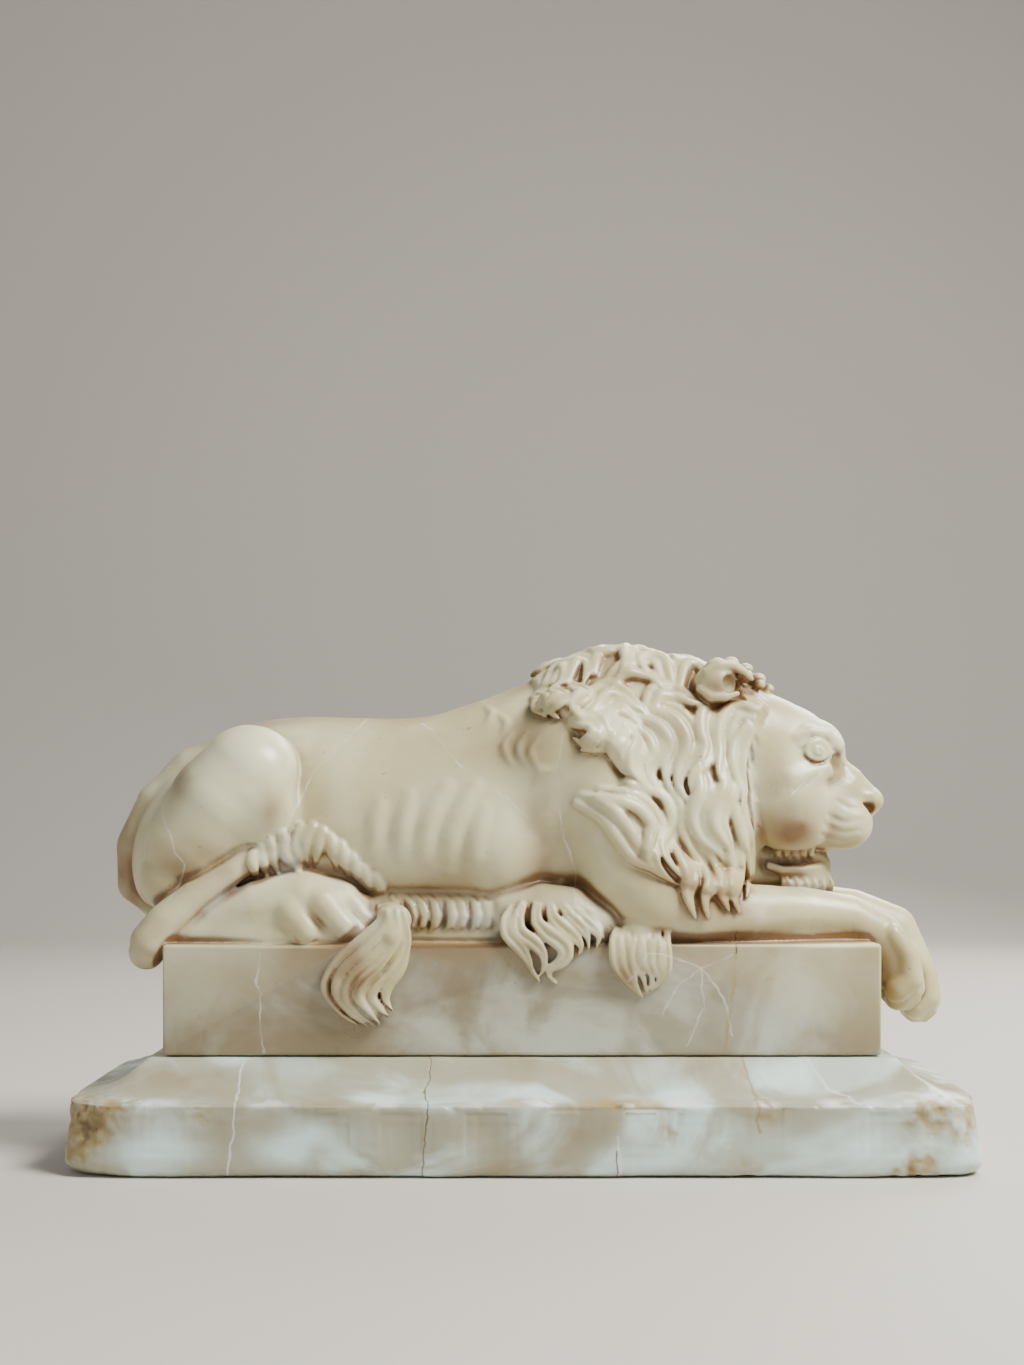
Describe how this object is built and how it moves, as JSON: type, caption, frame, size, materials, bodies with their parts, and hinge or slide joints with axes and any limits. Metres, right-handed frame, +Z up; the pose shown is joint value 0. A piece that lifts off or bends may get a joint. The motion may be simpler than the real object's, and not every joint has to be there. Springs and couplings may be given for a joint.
{
  "type": "recumbent lion carving",
  "caption": "Recumbent alabaster lion carved in one stone with its rectangular block, paws over the edge, standing on a separate base with a hollow moulding.",
  "frame": {"origin": "centre of the base's underside", "axes": "+X along the length, towards the way the lion faces; +Y across, towards the lion's left flank; +Z up"},
  "size_m": [0.257, 0.114, 0.1507],
  "materials": {
    "lion_alabaster": "polished, translucent, honey-tan clouds and white veins",
    "base_alabaster": "polished and worn, grey-green and white clouds, ochre crust on the chipped edges"
  },
  "bodies": {
    "root": {"lion_on_block": "lion_alabaster", "moulded_base": "base_alabaster"}
  },
  "joints": []
}
